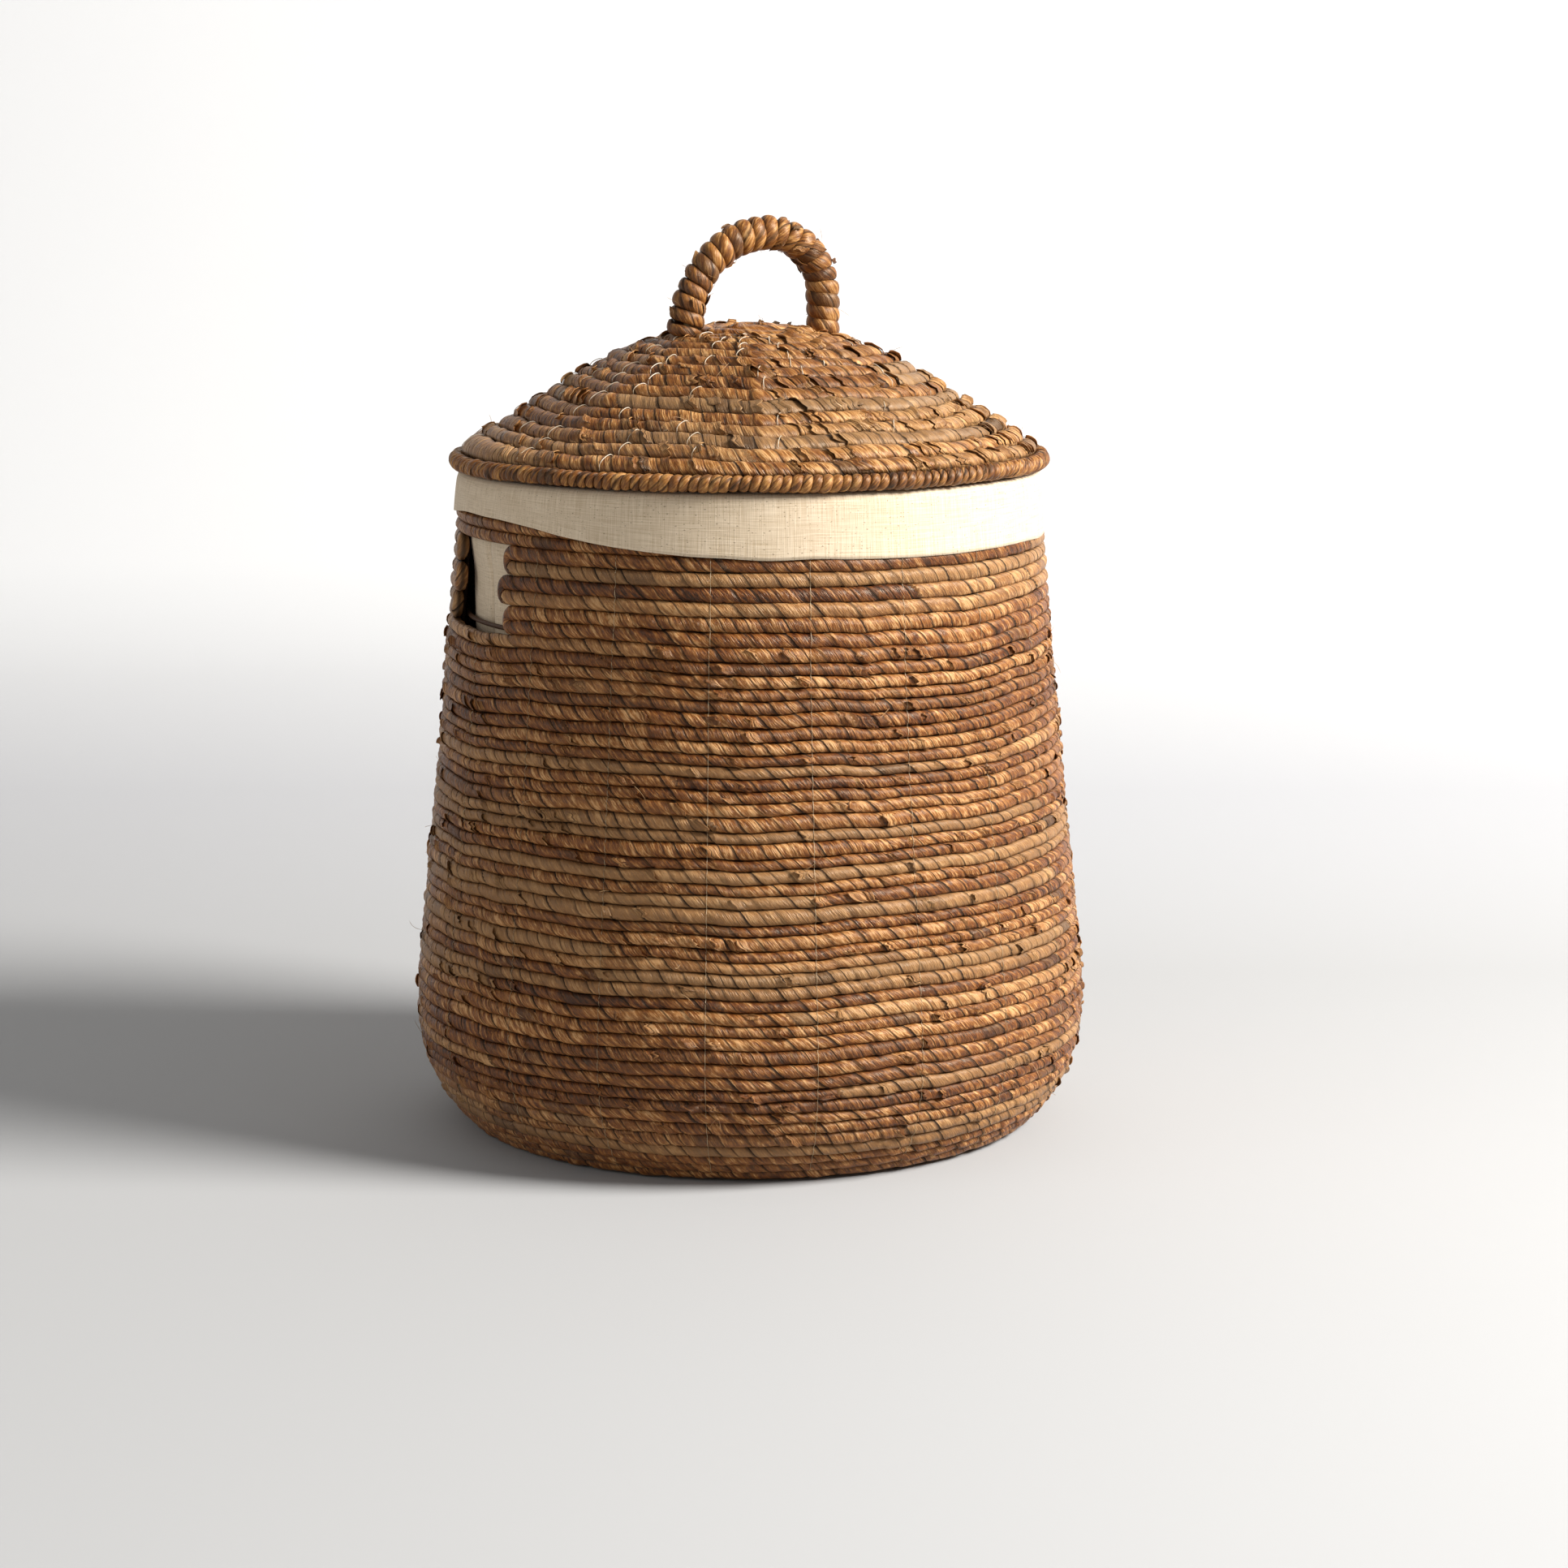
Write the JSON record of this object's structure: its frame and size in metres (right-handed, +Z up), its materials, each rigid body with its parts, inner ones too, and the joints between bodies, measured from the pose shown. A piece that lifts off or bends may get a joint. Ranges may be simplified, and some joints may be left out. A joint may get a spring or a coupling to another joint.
{
  "type": "laundry basket",
  "caption": "Tall round coiled-rope laundry basket with hand slots, a cloth liner folded over its rim and a domed lift-off lid with an arched handle.",
  "frame": {"origin": "on the floor, under the middle of the base", "axes": "+Z up, X through the two hand slots and along the lid's handle, -Y is the front"},
  "size_m": [0.4802, 0.4802, 0.64],
  "materials": {
    "wall_rope": "twisted banana bark rope, satin",
    "lid_rope": "thick flattened banana bark rope, satin",
    "wrapped_bark": "banana bark strip wrapped round a core, satin",
    "nylon_thread": "clear nylon sewing thread, satin",
    "liner_cotton": "unbleached plain-weave cotton, matte",
    "frame_wire": "brown lacquered wire",
    "handle_rod": "bent rattan rod",
    "lid_cord_core": "plain bark cord"
  },
  "bodies": {
    "basket": {"base_coil": "wall_rope", "foot_coil": "wall_rope", "belly_coil": "wall_rope", "lower_wall_coil": "wall_rope", "upper_wall_coil": "wall_rope", "front_hairpin_low": "wall_rope", "front_hairpin_middle": "wall_rope", "front_hairpin_high": "wall_rope", "back_hairpin_low": "wall_rope", "back_hairpin_middle": "wall_rope", "back_hairpin_high": "wall_rope", "rim_coil": "wall_rope", "wall_stitching": "nylon_thread", "front_panel_stitching": "nylon_thread", "back_panel_stitching": "nylon_thread", "base_ring_wire": "frame_wire", "belly_ring_wire": "frame_wire", "sill_ring_wire": "frame_wire", "rim_ring_wire": "frame_wire", "upright_wire_1": "frame_wire", "upright_wire_2": "frame_wire", "upright_wire_3": "frame_wire", "upright_wire_4": "frame_wire", "upright_wire_5": "frame_wire", "upright_wire_6": "frame_wire", "upright_wire_7": "frame_wire", "upright_wire_8": "frame_wire"},
    "liner": {"liner_wall": "liner_cotton", "liner_bottom": "liner_cotton", "liner_cuff": "liner_cotton"},
    "lid": {"lid_centre_coil": "lid_rope", "lid_middle_coil": "lid_rope", "lid_edge_coil": "lid_rope", "lid_cord_core": "lid_cord_core", "lid_cord_wrap": "wrapped_bark", "lid_stitching": "nylon_thread", "lid_centre_ring_wire": "frame_wire", "lid_edge_ring_wire": "frame_wire", "lid_rib_wire_1": "frame_wire", "lid_rib_wire_2": "frame_wire", "lid_rib_wire_3": "frame_wire", "lid_rib_wire_4": "frame_wire", "lid_rib_wire_5": "frame_wire", "lid_rib_wire_6": "frame_wire", "lid_rib_wire_7": "frame_wire", "lid_rib_wire_8": "frame_wire", "handle_core": "handle_rod", "handle_wrap": "wrapped_bark", "left_handle_knot": "lid_rope", "right_handle_knot": "lid_rope"}
  },
  "joints": [
    {"name": "liner_lift", "type": "slide", "parent": "basket", "child": "liner", "axis": [0, 0, 1], "range_m": [0, 0.48]},
    {"name": "lid_lift", "type": "slide", "parent": "liner", "child": "lid", "axis": [0, 0, 1], "range_m": [0, 0.25]}
  ]
}
